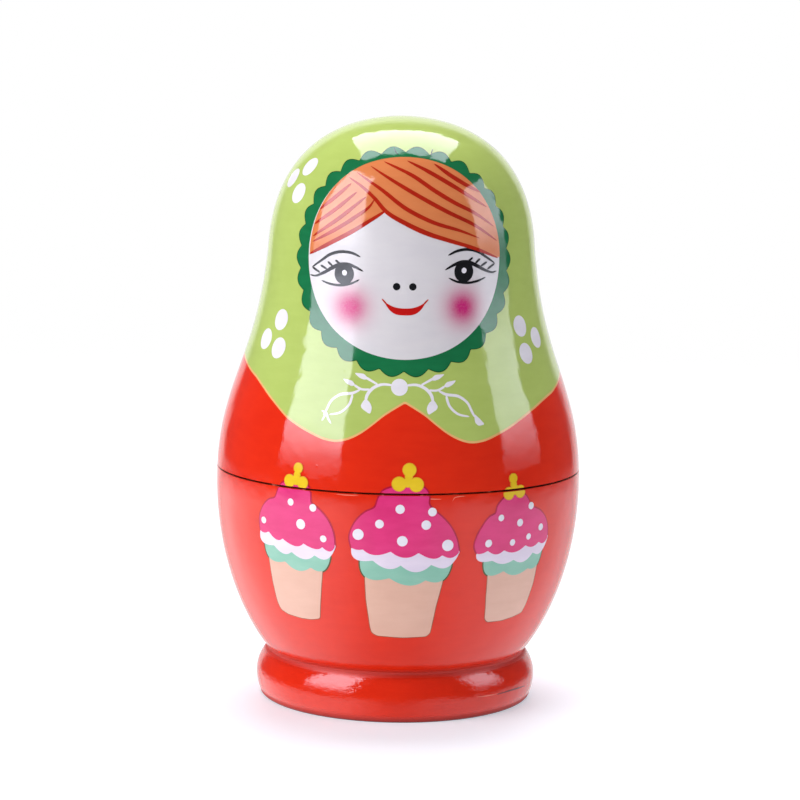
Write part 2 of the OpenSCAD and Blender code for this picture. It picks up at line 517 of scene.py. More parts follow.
def cheek_colour(flat):
    """Share of cheek colour at each point: a bell curve of the distance from the spot, level at its top."""
    away = [np.hypot(flat[:, 0] - u, flat[:, 1] - v) for u, v in CHEEKS]
    near = np.minimum(*away)
    return np.minimum(1, CHEEK_PEAK * np.exp(-0.5 * (near / CHEEK_SPREAD) ** 2))


def face_point(share, degrees):
    """Point in the face's oval, at a share of its radius."""
    angle = math.radians(degrees)
    return (share * FACE_HALF[0] * math.cos(angle), FACE_V + share * FACE_HALF[1] * math.sin(angle))


def paint_face(art, lashes):
    art.spread("face", "border_line", 2, scalloped(BORDER_LINE), (0, FACE_V), PAINT_TURN)
    art.spread("face", "border", 2, scalloped(0), (0, FACE_V), PAINT_TURN, nudge=0.012)
    oval = ellipse(0, FACE_V, *FACE_HALF)
    art.spread("face", "face", 3, oval, (0, FACE_V), PAINT_TURN, blush=cheek_colour)
    paint_hair(art)
    for side in (-1, 1):
        paint_eye(art, side, lashes)
        nostril = (side * NOSTRIL_U, NOSTRIL_V)
        art.spread("face", "black", 4, ellipse(*nostril, NOSTRIL_R, NOSTRIL_R, 40), nostril, PAINT_TURN)
    paint_mouth(art)


LEFT_LINE = ((-19.2, 87.1), (-13.9, 89.65), (-9.75, 91.8), (-6.65, 93.7), APEX)
RIGHT_LINE = (APEX, (0.2, 93.3), (4.0, 91.6), (7.8, 90.4), (13.4, 88.8), (19.1, 86.8))
PARTING = ((-10.8, 101.5), (-7.9, 99.7), (-5.6, 97.7))
RIGHT_STRANDS = (
    ((-9.2, 102.4), (-4.7, 99.6), (0.2, 96.0), (5.3, 93.55), (10.6, 92.0), (14.6, 90.6)),
    ((-6.5, 103.6), (-2.2, 101.0), (2.7, 98.2), (7.9, 95.5), (13.1, 93.2), (18.8, 90.0)),
    ((-4.0, 104.5), (1.5, 101.9), (5.3, 99.4), (9.2, 97.2), (13.4, 95.3), (18.0, 92.7)),
    ((0.3, 104.7), (4.0, 102.9), (7.9, 100.8), (12.1, 98.5), (16.3, 96.3)),
    ((5.3, 104.2), (8.7, 102.0), (12.1, 100.2), (15.0, 99.0)))
LEFT_STRANDS = (
    ((-17.1, 95.4), (-13.6, 97.8), (-10.3, 100.4)),
    ((-18.3, 92.6), (-13.6, 95.5), (-9.1, 98.9)),
    ((-18.5, 90.4), (-12.8, 93.9), (-7.3, 98.1)),
    ((-18.5, 89.4), (-13.4, 91.9), (-9.0, 94.6), (-6.5, 96.5), (-5.7, 97.7)))


def paint_hair(art):
    """Hair fills the oval above two swept lines that meet at the parting, with tapered darker strands. It
    ends a little inside the oval on the viewer's left."""
    half_turn = np.linspace(0, 180, 61)
    reach = np.interp(half_turn, (115, 180), (1.004, 0.985))
    top = [face_point(share, degrees) for share, degrees in zip(reach, half_turn)]
    left, _ = smooth_path(LEFT_LINE, 30)
    right, _ = smooth_path(RIGHT_LINE, 40)
    line = np.vstack([top, left, right[1:-1]])
    art.spread("face", "hair", 4, line, (-3.4, 100.5), PAINT_TURN)
    art.stroke("face", "strand", 5, LEFT_LINE, (0.45, 0.75, 0.8, 0.7, 0.5))
    art.stroke("face", "strand", 5, PARTING + RIGHT_LINE, (0.4, 0.65, 0.8, 0.9, 0.75, 0.65, 0.4), nudge=0.004)
    for points in RIGHT_STRANDS:
        art.stroke("face", "strand", 5, points, (0.3, 0.7, 0.78, 0.65, 0.25), nudge=0.008)
    for points in LEFT_STRANDS:
        art.stroke("face", "strand", 5, points, (0.3, 0.7, 0.7, 0.3), nudge=0.012)


# One eye, as out and up from its centre

UPPER_LID = ((7.5, -0.35), (6.3, -0.5), (4.4, 0.1), (2.5, 1.05), (0.85, 1.67), (-0.75, 1.72), (-2.2, 1.25),
             (-3.8, 0.45))
LOWER_LID = ((4.8, -1.3), (2.8, -1.9), (0.55, -2.1), (-1.6, -1.7), (-3.1, -1.0))
BROW = ((7.0, 1.1), (4.7, 2.5), (3.1, 3.45), (0.65, 4.05), (-1.6, 3.8), (-3.2, 3.1))
LASHES = (((7.0, 1.1), (5.1, 0.1)), ((5.1, 1.5), (3.6, 0.8)), ((3.5, 2.2), (2.4, 1.4)),
          ((1.85, 2.5), (0.8, 1.75)))


def paint_eye(art, side, lashes):
    """One eye, drawn outwards from its centre and mirrored: iris with a highlight, two lids, brow and
    lashes."""
    def place(points):
        across = [side * (EYE_U + out) + EYE_SHIFT for out, _ in points]
        return [(u, EYE_V + up + FACE_TILT * u) for u, (_, up) in zip(across, points)]

    centre = place([(0, 0)])[0]
    art.spread("face", "black", 4, ellipse(*centre, *IRIS_HALF, 72), centre, PAINT_TURN, nudge=0.004)
    spark = (centre[0] - 0.05 * side + 0.05, centre[1] + 0.2)
    art.spread("face", "white", 5, ellipse(*spark, *SPARK_HALF, 32), spark, PAINT_TURN)
    art.stroke("face", "black", 4, place(UPPER_LID), (0.27, 0.4, 0.56, 0.7, 0.74, 0.68, 0.5, 0.34),
               nudge=0.008)
    art.stroke("face", "black", 4, place(LOWER_LID), (0.3, 0.43, 0.46, 0.43, 0.3))
    art.stroke("face", "black", 4, place(BROW), (0.3, 0.43, 0.54, 0.57, 0.5, 0.38), nudge=0.012)
    if lashes:
        for points in LASHES:
            art.stroke("face", "black", 4, place(points), (0.38, 0.42, 0.34), nudge=0.016)


MOUTH_U = 0.1
MOUTH_HALF = 3.85
MOUTH_LOW = 76.65
MOUTH_HIGH = 77.9
CORNER = ((4.3, 79.6), (3.9, 79.2), (3.4, 78.65))


def paint_mouth(art):
    """Smile between two curves that rise from the middle to the corners, the upper by a power of 2.5 of the
    share of the way out, the lower by a power of 3.2 and further, with a short line at each corner."""
    across = np.linspace(-MOUTH_HALF, MOUTH_HALF, art.count(44))
    share = np.abs(across) / MOUTH_HALF
    lower = MOUTH_LOW + 2.5 * share ** 3.2
    upper = MOUTH_HIGH + 1.3 * share ** 2.5
    t = np.linspace(0, 1, 5)[None, :]
    height = lower[:, None] + (np.maximum(upper, lower + 0.06) - lower)[:, None] * t
    wide = np.repeat(across[:, None] + MOUTH_U, 5, axis=1)
    placed = settled("face", height)
    art.add("face", "lips", film(PAINT_TURN + wide / radius_at(placed), length_at(placed), SKIN + 4 * COAT))
    for side in (-1, 1):
        corner = [(side * out + MOUTH_U, up) for out, up in CORNER]
        art.stroke("face", "strand", 4, corner, (0.18, 0.3, 0.3), nudge=0.004)


# Ice-cream cups, each drawn about its own centre turn, as across and up from the foot of its frosting.
# Lobes and dots end in a radius. A lower edge lists cusp, dip, cusp and so on.

LEFT_CUP = {
    "turn": -33.0,
    "foot": 34.4,
    "lobes": ((0.9, 14.0, 0.98), (0.75, 12.7, 0.72), (-0.85, 11.5, 1.2), (2.0, 11.4, 1.15),
              (0.6, 11.8, 0.95)),
    "frosting": ((-8.3, 1.3), (-8.3, 4.0), (-7.3, 6.0), (-5.8, 7.4), (-4.2, 8.0), (-3.6, 9.3),
                 (-2.9, 10.6), (-1.2, 11.4), (1.6, 11.4), (3.4, 10.6), (3.7, 9.4), (3.9, 7.9), (5.5, 6.8),
                 (7.3, 4.9), (8.3, 2.6), (8.5, 0.1)),
    "frosting_edge": ((-8.3, 1.3), (-7.2, 1.0), (-6.0, 1.4), (-4.1, 0.1), (-2.6, 0.5), (0.2, -0.6),
                      (2.1, 0.1), (4.5, -0.7), (6.0, -0.2), (7.5, -0.9), (8.5, 0.1)),
    "cream": ((-8.3, 1.4), (-7.9, -0.8), (-4.8, -1.1), (-2.6, -2.4), (-0.7, -1.8), (2.0, -2.9),
              (4.3, -1.9), (6.8, -2.4), (8.7, 0.2)),
    "mint": ((-7.3, -0.5), (-6.2, -3.8), (-2.4, -3.9), (0.4, -5.3), (3.2, -4.4), (5.9, -4.7),
             (7.5, -1.8)),
    "cup": ((-6.5, -2.5), (-6.3, -8.2), (-6.0, -12.3), (-5.5, -13.8), (-3.8, -14.5), (-0.7, -14.85),
            (1.5, -14.8), (3.4, -14.4), (4.5, -9.9), (5.7, -4.5), (5.9, -2.5)),
    "dots": ((-0.5, 7.6, 0.66), (4.3, 7.0, 0.7), (-7.2, 3.4, 0.64), (1.7, 3.7, 0.95), (6.3, 1.4, 0.64)),
}
MIDDLE_CUP = {
    "turn": 2.25,
    "foot": 33.2,
    "lobes": ((0.7, 15.95, 1.25), (0.6, 14.7, 0.72), (-1.15, 13.4, 1.33), (2.0, 13.3, 1.33),
              (0.45, 13.7, 0.9)),
    "frosting": ((-9.7, 1.3), (-10.1, 3.2), (-9.2, 5.9), (-7.3, 8.0), (-5.4, 9.1), (-4.9, 10.6),
                 (-4.1, 12.0), (-2.6, 12.7), (0.5, 13.0), (3.4, 12.7), (4.3, 11.6), (4.35, 9.6),
                 (5.3, 8.6), (6.8, 7.3), (8.5, 5.4), (9.7, 3.0), (10.2, 0.6)),
    "frosting_edge": ((-9.7, 1.3), (-8.6, 1.0), (-7.6, 1.15), (-5.4, 0.15), (-2.5, 0.9), (0.1, -0.25),
                      (2.6, 0.7), (5.2, -0.45), (7.0, 0.2), (8.7, -0.4), (10.2, 0.6)),
    "cream": ((-9.75, 1.2), (-8.9, -0.8), (-5.7, -0.9), (-3.0, -2.4), (-0.6, -1.7), (2.3, -3.0),
              (5.1, -1.5), (8.0, -2.2), (10.35, 0.7)),
    "mint": ((-8.1, -0.5), (-6.9, -4.2), (-2.6, -4.2), (0.9, -5.6), (4.0, -4.6), (7.2, -4.7),
             (8.9, -1.5)),
    "cup": ((-7.2, -2.5), (-7.1, -4.5), (-6.8, -8.6), (-5.9, -14.2), (-5.6, -15.2), (-4.6, -15.8),
            (0.1, -16.1), (4.5, -15.9), (5.2, -15.2), (6.1, -9.8), (7.3, -4.6), (7.3, -2.5)),
    "dots": ((-0.9, 8.8, 0.84), (5.0, 8.3, 0.8), (-4.6, 6.0, 0.8), (3.9, 5.9, 0.88), (-8.5, 3.9, 1.03),
             (-0.4, 2.9, 0.97), (8.0, 2.0, 1.07)),
}
RIGHT_CUP = {
    "turn": 38.5,
    "foot": 33.6,
    "lobes": ((-0.8, 13.2, 0.94), (-0.75, 12.1, 0.72), (-1.85, 10.5, 1.2), (0.85, 10.65, 1.2),
              (-0.5, 11.1, 0.95)),
    "frosting": ((-8.1, -0.3), (-8.7, 0.9), (-8.4, 2.9), (-7.4, 4.7), (-5.9, 6.5), (-4.6, 7.1),
                 (-4.4, 8.2), (-3.2, 9.5), (-1.5, 10.6), (0.9, 10.6), (2.6, 9.4), (3.7, 7.8), (6.5, 6.4),
                 (8.4, 4.5), (9.1, 2.6), (9.3, 1.0)),
    "frosting_edge": ((-8.1, -0.3), (-7.1, -0.35), (-5.9, 0.1), (-4.0, -0.75), (-2.3, -0.1), (0.3, -0.75),
                      (2.9, 0.3), (4.8, -0.25), (6.6, 0.5), (8.1, 0.05), (9.3, 1.0)),
    "cream": ((-8.2, -0.4), (-7.4, -1.8), (-4.6, -1.9), (-2.2, -2.75), (0.3, -2.2), (2.9, -2.9),
              (5.3, -1.3), (7.6, -1.7), (9.5, 1.2)),
    "mint": ((-6.5, -1.5), (-5.3, -4.6), (-1.7, -4.2), (1.2, -5.3), (4.4, -4.4), (6.9, -4.2),
             (8.0, -1.2)),
    "cup": ((-5.5, -2.5), (-5.2, -4.6), (-4.6, -8.9), (-3.6, -13.5), (-2.8, -14.2), (0.6, -14.3),
            (3.6, -13.9), (5.7, -13.4), (6.3, -11.8), (7.0, -7.8), (7.1, -3.9), (7.1, -2.5)),
    "dots": ((3.7, 7.7, 0.68), (-3.5, 6.1, 0.62), (1.0, 4.8, 0.72), (6.8, 3.3, 0.66), (3.5, 1.9, 0.6),
             (-0.5, 1.2, 0.62), (-5.9, 1.5, 0.72)),
}
CUPS = (MIDDLE_CUP, LEFT_CUP, RIGHT_CUP)

# Middles of a cup's layers, and how far each rim stands out
CUP_MIDDLE = (0, -9)
MINT_MIDDLE = (0.3, -2.6)
CREAM_MIDDLE = (0.3, 0.4)
FROSTING_MIDDLE = (0, 4.5)
CUP_RIM = 0.16
MINT_RIM = 0.28
FROSTING_RIM = 0.3
LOBE_IN = 0.07
LOBE_OUT = 0.05


def scallops(points):
    """Line of arcs that hang between cusps: each is a parabola through a cusp, the dip and the next cusp."""
    points = np.array(points, float)
    t = np.linspace(0, 1, 14)[:-1, None]
    arcs = []
    for left, dip, right in zip(points[:-2:2], points[1:-1:2], points[2::2]):
        handle = 2 * dip - (left + right) / 2
        arcs.append((1 - t) ** 2 * left + 2 * t * (1 - t) * handle + t ** 2 * right)
    return np.vstack(arcs + [points[-1:]])


def paint_cup(art, drawing):
    """One cup: darker rims first, then cup, mint, cream and frosting over them from the bottom up, then dots
    and a three-lobed topping. A rim is its layer's line grown outwards."""
    turn = math.radians(drawing["turn"])

    def layer(paint, coat, line, centre, nudge=0.0):
        lift = np.array([0, drawing["foot"]])
        art.spread("toppings", paint, coat, np.asarray(line) + lift, np.array(centre) + lift, turn,
                   nudge=nudge, base_piece="cups")

    over, _ = smooth_path(drawing["frosting"], 90)
    frosting = np.vstack([over, scallops(drawing["frosting_edge"])[::-1][1:-1]])
    cream_edge = scallops(drawing["cream"])
    cream = np.vstack([cream_edge, cream_edge[-1:] + (-2, 2), cream_edge[:1] + (2, 1.8)])
    mint = scallops(drawing["mint"])
    cup = softened(drawing["cup"], 0.25)
    layer("cup_rim", 1, grown(cup, CUP_RIM), CUP_MIDDLE)
    layer("mint_rim", 1, grown(softened(mint, 0.1), MINT_RIM), MINT_MIDDLE, 0.003)
    layer("frosting_rim", 1, grown(softened(frosting, 0.15), FROSTING_RIM), FROSTING_MIDDLE, 0.006)
    layer("cup", 1, cup, CUP_MIDDLE, 0.012)
    layer("mint", 2, mint, MINT_MIDDLE)
    layer("cream", 3, cream, CREAM_MIDDLE)
    layer("frosting", 4, frosting, FROSTING_MIDDLE)
    for across, up, radius in drawing["dots"]:
        layer("white", 5, ellipse(across, up, radius, radius, 60), (across, up))
    for number, (across, up, radius) in enumerate(drawing["lobes"]):
        inner = radius - LOBE_IN
        rim = radius + LOBE_OUT
        layer("yellow_rim", 5, ellipse(across, up, rim, rim, 60), (across, up), 0.002 * number)
        layer("yellow", 5, ellipse(across, up, inner, inner, 60), (across, up), 0.012 + 0.002 * number)


# Marks of use on the outer doll: scratches below the seam and a crack along the foot, and two short black
# lines at the border's top

SCRATCHES = (((3.7, 44.0), (5.5, 43.85), (7.2, 43.8)), ((-12.4, 44.3), (-10.2, 44.22), (-8.0, 44.28)),
             ((9.2, 43.3), (9.6, 44.0), (10.3, 44.15), (11.7, 44.2)),
             ((15.6, 4.3), (18.4, 4.15), (21.2, 4.15)))
FOOT_CRACK = ((20.8, 4.0), (24.4, 4.05), (28.2, 3.9), (31.4, 3.6))
BORDER_TICKS = (((-2.1, 107.1), (-1.9, 106.4), (-1.3, 105.7)),
                 ((5.1, 106.9), (4.9, 106.3), (4.7, 105.6)))


def paint_wear(art):
    for points in SCRATCHES:
        art.stroke("cups", "scratch", 1, points, (0.08, 0.2, 0.08))
    art.stroke("cups", "crack", 1, FOOT_CRACK, (0.1, 0.3, 0.3, 0.08))
    # Two short black lines across the top of the border
    for points in BORDER_TICKS:
        art.stroke("face", "black", 3, points, (0.1, 0.2, 0.08))


# Turned shells


def wall_points(keep, lift):
    """The hollow round the doll inside: that doll's outline at the nesting ratio, a gap further out."""
    radius = NEST_RATIO * OUT_R[keep] + NEST_GAP
    height = FLOOR_T + NEST_RATIO * OUT_Z[keep] + lift
    return np.stack([radius, height], axis=1)[::-1]


def skin_section(keep):
    """The painted wood's outside, drawn in below the CAD outline except at the foot's edge."""
    drawn_in = SKIN * np.clip((OUT_Z[keep] - FOOT_EDGE) / EDGE_BLEND, 0, 1)
    radius = OUT_R[keep] + drawn_in * NORMAL_R[keep]
    height = OUT_Z[keep] + drawn_in * NORMAL_Z[keep]
    return np.stack([radius, height], axis=1)


def tagged(*parts):
    """Joins runs of section points, each with the paint of the steps that end in it, and drops the first
    tag."""
    section = np.vstack([np.atleast_2d(points) for _, points in parts])
    tags = np.concatenate([np.full(len(np.atleast_2d(points)), tag) for tag, points in parts])
    return section, tags[1:]


BORE_R = NEST_RATIO * BELLY_R + NEST_GAP
SPIGOT_R = BORE_R + SPIGOT_WALL
SPIGOT_TOP = SEAM_Z + SPIGOT_H
SOCKET_R = SPIGOT_R + FIT_GAP
SOCKET_END = SPIGOT_TOP + SOCKET_END_GAP
CEILING_Z = FLOOR_T + NEST_RATIO * DOLL_H + HEADROOM
THROAT_Z = max(BELLY_Z, (SOCKET_END - HEADROOM - FLOOR_T) / NEST_RATIO)
SEAM_R = float(radius_at(SEAM_Z)) + SKIN
PAINTED = 0
WOOD = 1
# The third tag marks painted shade: a dark brown on the top's seam chamfer, on a band of the base's shoulder
# inside the seam gap and on the foot's standing edge, where the seam's shadow and the contact shadow fall
PAINTED_SHADE = 2
EDGE_STEPS = 4
GAP_SHADE_W = 0.6


def base_section():
    outside = skin_section(OUT_Z < SEAM_Z - BASE_CHAMFER)
    widest = np.maximum.accumulate(OUT_R)
    bowl = wall_points((OUT_Z <= BELLY_Z) & (OUT_R >= widest), 0)
    lap = [(SPIGOT_R, SEAM_Z - RIM_GAP / 2), (SPIGOT_R, SPIGOT_TOP - LEAD_IN),
           (SPIGOT_R - LEAD_IN, SPIGOT_TOP), (BORE_R, SPIGOT_TOP)]
    rim = [(SEAM_R, SEAM_Z - BASE_CHAMFER), (SEAM_R - BASE_CHAMFER, SEAM_Z - RIM_GAP / 2)]
    # A band of painted shade on the shoulder inside the seam gap, so that the closed seam shows as a dark
    # line
    gap_shade = (SEAM_R - BASE_CHAMFER - GAP_SHADE_W, SEAM_Z - RIM_GAP / 2)
    # The foot's lowest steps are painted shade as well
    return tagged((WOOD, (0, 0)), (WOOD, outside[:1]), (PAINTED_SHADE, outside[1:EDGE_STEPS]),
                  (PAINTED, outside[EDGE_STEPS:]), (PAINTED, rim), (PAINTED_SHADE, gap_shade), (WOOD, lap), (WOOD, bowl),
                  (WOOD, (0, FLOOR_T)))


def top_section():
    outside = skin_section(OUT_Z > SEAM_Z + TOP_CHAMFER)
    outside[-1, 0] = 0
    hollow = wall_points(OUT_Z > THROAT_Z, HEADROOM)[1:]
    throat_r = float(NEST_RATIO * radius_at(THROAT_Z) + NEST_GAP)
    throat = [(throat_r, FLOOR_T + NEST_RATIO * THROAT_Z + HEADROOM), (throat_r, SOCKET_END),
              (SOCKET_R, SOCKET_END), (SOCKET_R, SEAM_Z + LEAD_IN),
              (SOCKET_R + LEAD_IN, SEAM_Z + RIM_GAP / 2)]
    rim = [(SEAM_R - TOP_CHAMFER, SEAM_Z + RIM_GAP / 2), (SEAM_R, SEAM_Z + TOP_CHAMFER)]
    # The top's seam chamfer is painted shade
    return tagged((WOOD, (0, CEILING_Z)), (WOOD, hollow), (WOOD, throat), (WOOD, rim[:1]), (PAINTED_SHADE, rim[1:]),
                  (PAINTED, outside))


def solid_section():
    outside = skin_section(OUT_Z >= 0)
    outside[-1, 0] = 0
    # The foot's lowest steps are painted shade
    return tagged((WOOD, (0, 0)), (WOOD, outside[:1]), (PAINTED_SHADE, outside[1:EDGE_STEPS]),
                  (PAINTED, outside[EDGE_STEPS:]))


# Materials


def linear(red, green, blue):
    """Display colour from 0 to 255 as linear light."""
    shown = np.array([red, green, blue]) / 255
    light = np.where(shown <= 0.04045, shown / 12.92, ((shown + 0.055) / 1.055) ** 2.4)
    return (*[float(value) for value in light], 1.0)


def group(name, outputs):
    """Empty shader node group with the named output sockets."""
    tree = bpy.data.node_groups.new(name, "ShaderNodeTree")
    for label, kind in outputs:
        tree.interface.new_socket(label, in_out="OUTPUT", socket_type=kind)
    return tree, tree.nodes.new("NodeGroupOutput")


def node(tree, kind, settings=(), **values):
    made = tree.nodes.new(kind)
    for key, value in settings:
        setattr(made, key, value)
    for key, value in values.items():
        made.inputs[key.replace("_", " ")].default_value = value
    return made


def math_node(tree, operation, first, second):
    """A Math node on two sockets or numbers."""
    made = node(tree, "ShaderNodeMath", [("operation", operation)])
    for slot, value in enumerate((first, second)):
        if isinstance(value, (int, float)):
            made.inputs[slot].default_value = value
        else:
            tree.links.new(value, made.inputs[slot])
    return made.outputs[0]


def noise(tree, vector, scale, detail, roughness=0.5):
    made = node(tree, "ShaderNodeTexNoise", Scale=scale, Detail=detail, Roughness=roughness)
    tree.links.new(vector, made.inputs["Vector"])
    return made.outputs["Fac"]


def stretched(tree, vector, scale):
    made = node(tree, "ShaderNodeMapping", Scale=scale)
    tree.links.new(vector, made.inputs["Vector"])
    return made.outputs["Vector"]


def ranged(tree, value, low, high, to_low=0.0, to_high=1.0):
    made = node(tree, "ShaderNodeMapRange", [("interpolation_type", "SMOOTHSTEP")], From_Min=low,
                From_Max=high, To_Min=to_low, To_Max=to_high)
    tree.links.new(value, made.inputs["Value"])
    return made.outputs["Result"]


def weighted(tree, *terms):
    """Sum of sockets, each times its weight."""
    parts = [math_node(tree, "MULTIPLY", value, weight) for value, weight in terms]
    total = parts[0]
    for part in parts[1:]:
        total = math_node(tree, "ADD", total, part)
    return total


def distance_from_middle(tree, vector):
    made = node(tree, "ShaderNodeVectorMath", [("operation", "LENGTH")])
    tree.links.new(vector, made.inputs[0])
    return made.outputs["Value"]


def split_axes(tree, vector):
    made = node(tree, "ShaderNodeSeparateXYZ")
    tree.links.new(vector, made.inputs["Vector"])
    return made.outputs


def object_place(tree):
    return tree.nodes.new("ShaderNodeTexCoord").outputs["Object"]


def attribute(tree, name):
    return node(tree, "ShaderNodeAttribute", [("attribute_name", name)]).outputs["Fac"]


def link_relief(tree, height, out):
    """Bump from a height in millimetres to the group's normal."""
    bump = node(tree, "ShaderNodeBump", Strength=1.0, Distance=MM)
    tree.links.new(height, bump.inputs["Height"])
    tree.links.new(bump.outputs["Normal"], out.inputs["Normal"])


# Depths of the lacquer's relief in millimetres

PEEL = 0.016
WAVE = 0.17
NIB = 0.02
GRIT = 0.004
CRINKLE = 0.08


def lacquer_group():
    """Lacquer over brushed paint: brush streaks that run round the doll, patches of lesser gloss, painted
    shade, also duller in gloss, where the attribute for it is high, and a relief of orange peel, slow waves,
    dust nibs, fine grit and, on the foot, crinkles."""
    tree, out = group("lacquer", [("Streaks", "NodeSocketFloat"), ("Gloss", "NodeSocketFloat"),
                                  ("FootShade", "NodeSocketFloat"), ("Normal", "NodeSocketVector")])
    place = object_place(tree)
    streaks = noise(tree, stretched(tree, place, (170, 170, 620)), 1.0, 4.0, 0.55)
    patches = noise(tree, place, 95.0, 3.0, 0.55)
    brushed = weighted(tree, (streaks, 0.5), (patches, 0.5))
    tree.links.new(ranged(tree, brushed, 0.3, 0.7), out.inputs["Streaks"])
    smudge = noise(tree, place, 210.0, 5.0, 0.65)
    # Share of painted shade, from the mesh; it also dulls the gloss
    foot_shade = attribute(tree, "foot_shade")
    dull = math_node(tree, "MINIMUM", math_node(tree, "MULTIPLY", foot_shade, 1.6), 0.6)
    gloss = ranged(tree, smudge, 0.42, 0.75, 0.05, 0.13)
    tree.links.new(math_node(tree, "MAXIMUM", gloss, dull), out.inputs["Gloss"])
    tree.links.new(math_node(tree, "MULTIPLY", foot_shade, 0.85), out.inputs["FootShade"])
    peel = noise(tree, place, 780.0, 2.0, 0.5)
    wave = noise(tree, place, 120.0, 2.0, 0.5)
    grit = noise(tree, place, 2400.0, 2.0, 0.5)
    cells = node(tree, "ShaderNodeTexVoronoi", Scale=330.0)
    tree.links.new(place, cells.inputs["Vector"])
    rare = ranged(tree, noise(tree, place, 260.0, 1.0), 0.62, 0.7)
    nibs = math_node(tree, "MULTIPLY", ranged(tree, cells.outputs["Distance"], 0.0, 0.12, 1.0, 0.0), rare)
    ripple = noise(tree, stretched(tree, place, (700, 700, 1300)), 1.0, 3.0, 0.6)
    crinkle = math_node(tree, "MULTIPLY", ripple, attribute(tree, "foot"))
    relief = weighted(tree, (peel, PEEL), (wave, WAVE), (nibs, NIB), (grit, GRIT), (crinkle, CRINKLE))
    link_relief(tree, relief, out)
    return tree


def wear_group():
    """Chips along the seam: a speckle that only reaches through where the rim attribute is high."""
    tree, out = group("rim_wear", [("Wear", "NodeSocketFloat")])
    speckle = noise(tree, stretched(tree, object_place(tree), (420, 420, 900)), 1.0, 3.0, 0.6)
    reach = math_node(tree, "MULTIPLY", math_node(tree, "POWER", attribute(tree, "rim"), 2.0), 0.3)
    tree.links.new(ranged(tree, math_node(tree, "ADD", speckle, reach), 0.88, 0.93), out.inputs["Wear"])
    return tree


def wood_group():
    """Bare turned lime wood: grain that runs along the axis, and fine rings left by the tool."""
    tree, out = group("turned_wood", [("Colour", "NodeSocketColor"), ("Gloss", "NodeSocketFloat"),
                                      ("Normal", "NodeSocketVector")])
    place = object_place(tree)
    parts = split_axes(tree, place)
    flat = node(tree, "ShaderNodeCombineXYZ")
    tree.links.new(parts["X"], flat.inputs["X"])
    tree.links.new(parts["Y"], flat.inputs["Y"])
    run = math_node(tree, "ADD", distance_from_middle(tree, flat.outputs["Vector"]), parts["Z"])
    wander = math_node(tree, "MULTIPLY", noise(tree, place, 60.0, 2.0), 0.0012)
    turns = math_node(tree, "MULTIPLY", math_node(tree, "ADD", run, wander), 9500.0)
    ring = math_node(tree, "SINE", turns, 0.0)
    grain = noise(tree, stretched(tree, place, (520, 520, 26)), 1.0, 5.0, 0.6)
    years = noise(tree, stretched(tree, place, (95, 95, 7)), 1.0, 2.0, 0.5)
    ramp = node(tree, "ShaderNodeValToRGB")
    stops = ((0.36, linear(196, 158, 112)), (0.64, linear(232, 205, 163)))
    for stop, (position, colour) in zip(ramp.color_ramp.elements, stops):
        stop.position = position
        stop.color = colour
    tree.links.new(weighted(tree, (grain, 0.6), (years, 0.4)), ramp.inputs["Fac"])
    tree.links.new(ramp.outputs["Color"], out.inputs["Colour"])
    tree.links.new(ranged(tree, grain, 0.3, 0.7, 0.62, 0.8), out.inputs["Gloss"])
    link_relief(tree, weighted(tree, (ring, 0.012), (grain, 0.05)), out)
    return tree


LACQUER = lacquer_group()
WEAR = wear_group()
TURNED_WOOD = wood_group()
CHIP = linear(240, 138, 118)
CHEEK = linear(196, 28, 112)
# Painted shade: the paint darkens towards this tone at the foot's standing edge and in the groove above the
# foot
FOOT_SHADE_TONE = linear(96, 10, 8)
FACE_DULL = 0.22


def mixed(tree, share, first, second):
    """Mix of two colours, each a colour or a socket, by a varying share."""
    made = node(tree, "ShaderNodeMix", [("data_type", "RGBA")])
    tree.links.new(share, made.inputs[0])
    for slot, value in ((6, first), (7, second)):
        if isinstance(value, tuple):
            made.inputs[slot].default_value = value
        else:
            tree.links.new(value, made.inputs[slot])
    return made.outputs[2]


def instance(tree, which):
    made = tree.nodes.new("ShaderNodeGroup")
    made.node_tree = which
    return made.outputs


def new_material(name):
    material = bpy.data.materials.new(name)
    material.use_nodes = True
    return material, material.node_tree, material.node_tree.nodes["Principled BSDF"]


def paint_material(name, light, dark, blush=False):
    """Glossy brushed paint that varies between two tones, with chips near the seam. With blush it is the
    face, which is duller and has coloured cheeks."""
    material, tree, shader = new_material(name)
    lacquer = instance(tree, LACQUER)
    colour = mixed(tree, lacquer["Streaks"], linear(*light), linear(*dark))
    gloss = lacquer["Gloss"]
    if blush:
        speckle = ranged(tree, noise(tree, object_place(tree), 3200.0, 2.0), 0.3, 0.7, 0.96, 1.03)
        colour = mixed(tree, math_node(tree, "MULTIPLY", attribute(tree, "blush"), speckle), colour, CHEEK)
        gloss = math_node(tree, "ADD", math_node(tree, "MULTIPLY", gloss, 0.2), FACE_DULL)
    colour = mixed(tree, instance(tree, WEAR)["Wear"], colour, CHIP)
    # Painted shade at the foot's standing edge and in the groove
    colour = mixed(tree, lacquer["FootShade"], colour, FOOT_SHADE_TONE)
    tree.links.new(colour, shader.inputs["Base Color"])
    tree.links.new(gloss, shader.inputs["Roughness"])
    tree.links.new(lacquer["Normal"], shader.inputs["Normal"])
    shader.inputs["IOR"].default_value = 1.5
    return material


def wood_material():
    material, tree, shader = new_material("bare_wood")
    wood = instance(tree, TURNED_WOOD)
    tree.links.new(wood["Colour"], shader.inputs["Base Color"])
    tree.links.new(wood["Gloss"], shader.inputs["Roughness"])
    tree.links.new(wood["Normal"], shader.inputs["Normal"])
    return material


